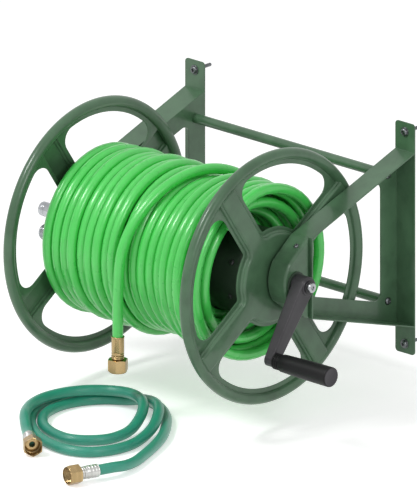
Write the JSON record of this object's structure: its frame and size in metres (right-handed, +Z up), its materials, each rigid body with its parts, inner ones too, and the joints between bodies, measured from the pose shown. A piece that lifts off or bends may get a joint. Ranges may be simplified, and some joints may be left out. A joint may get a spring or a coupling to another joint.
{
  "type": "wall mounted hose reel",
  "caption": "Wall mounted hose reel: pressed steel wheels and drum on two brackets, crank with turning grip, water swivel, wound hose and a loose inlet hose.",
  "frame": {"origin": "middle of the four wall screws, in the plane of the wall behind the two brackets", "axes": "+X along the reel's axis towards the crank, +Y into the wall, +Z up"},
  "size_m": [0.7002, 0.7606, 0.4602],
  "materials": {
    "frame_paint": "dark green paint, softly glossy",
    "wheel_paint": "dark green paint, softly glossy",
    "drum_paint": "very dark green paint",
    "bush_nylon": "dark green nylon",
    "dark_screw": "dark plated steel",
    "black_screw": "black coated steel",
    "plain_steel": "turned and plated steel",
    "crank_paint": "black satin paint",
    "grip_black": "black moulded plastic",
    "grip_cap": "dark grey moulded plastic",
    "brass": "machined brass, slightly dull",
    "swivel_chrome": "bright plated casting",
    "ferrule_steel": "crimped bright steel",
    "seal_rubber": "black rubber",
    "hose_green": "light green glossy hose",
    "loose_hose_green": "teal green satin hose"
  },
  "bodies": {
    "wall_frame": {"side_frame_right": "frame_paint", "side_frame_left": "frame_paint", "bearing_housing_right": "frame_paint", "bearing_housing_left": "frame_paint", "bush_right": "bush_nylon", "bush_left": "bush_nylon", "cross_tube_upper": "frame_paint", "cross_tube_lower": "frame_paint", "cross_tube_screws": "dark_screw", "housing_screws": "dark_screw", "wall_screws": "dark_screw", "hose_tail": "hose_green", "tail_ferrule": "brass", "tail_stem": "brass", "loose_hose": "loose_hose_green", "loose_ferrule_a": "ferrule_steel", "loose_stem_a": "brass", "loose_ferrule_b": "ferrule_steel", "loose_stem_b": "ferrule_steel"},
    "reel": {"wheel_right": "wheel_paint", "wheel_left": "wheel_paint", "drum": "drum_paint", "drum_cup_right": "drum_paint", "drum_cup_left": "drum_paint", "drum_screws": "black_screw", "axle": "plain_steel", "spacer_right": "bush_nylon", "spacer_left": "bush_nylon", "axle_clip": "plain_steel", "outlet_elbow": "brass", "inner_hose": "hose_green", "hose_core": "hose_green", "hose_winding": "hose_green", "crank_arm": "crank_paint", "crank_washer": "black_screw", "crank_bolt": "plain_steel", "grip_pin": "plain_steel"},
    "crank_grip": {"grip": "grip_black", "grip_end_cap": "grip_cap"},
    "inlet_swivel": {"swivel_body": "swivel_chrome", "swivel_plug": "swivel_chrome", "swivel_seals": "seal_rubber"},
    "hose_end_nut": {"tail_nut": "brass"},
    "loose_end_nut_a": {"loose_nut_a": "brass"},
    "loose_end_nut_b": {"loose_nut_b": "brass"}
  },
  "joints": [
    {"name": "reel_spin", "type": "hinge", "parent": "wall_frame", "child": "reel", "pos_m": [0, -0.275, -0.006], "axis": [1, 0, 0], "continuous": true},
    {"name": "grip_spin", "type": "hinge", "parent": "reel", "child": "crank_grip", "pos_m": [0.33, -0.34957, -0.11249], "axis": [1, 0, 0], "continuous": true},
    {"name": "swivel_turn", "type": "hinge", "parent": "wall_frame", "child": "inlet_swivel", "pos_m": [-0.28, -0.275, -0.006], "axis": [1, 0, 0], "continuous": true},
    {"name": "tail_nut_spin", "type": "hinge", "parent": "wall_frame", "child": "hose_end_nut", "pos_m": [-0.005, -0.422, -0.176], "axis": [0, 0, 1], "continuous": true},
    {"name": "loose_nut_a_spin", "type": "hinge", "parent": "wall_frame", "child": "loose_end_nut_a", "pos_m": [0.02792, -0.65465, -0.23925], "axis": [0.7643, -0.6449, 0], "continuous": true},
    {"name": "loose_nut_b_spin", "type": "hinge", "parent": "wall_frame", "child": "loose_end_nut_b", "pos_m": [0.16344, -0.72152, -0.23925], "axis": [-0.2881, -0.9576, 0], "continuous": true}
  ]
}
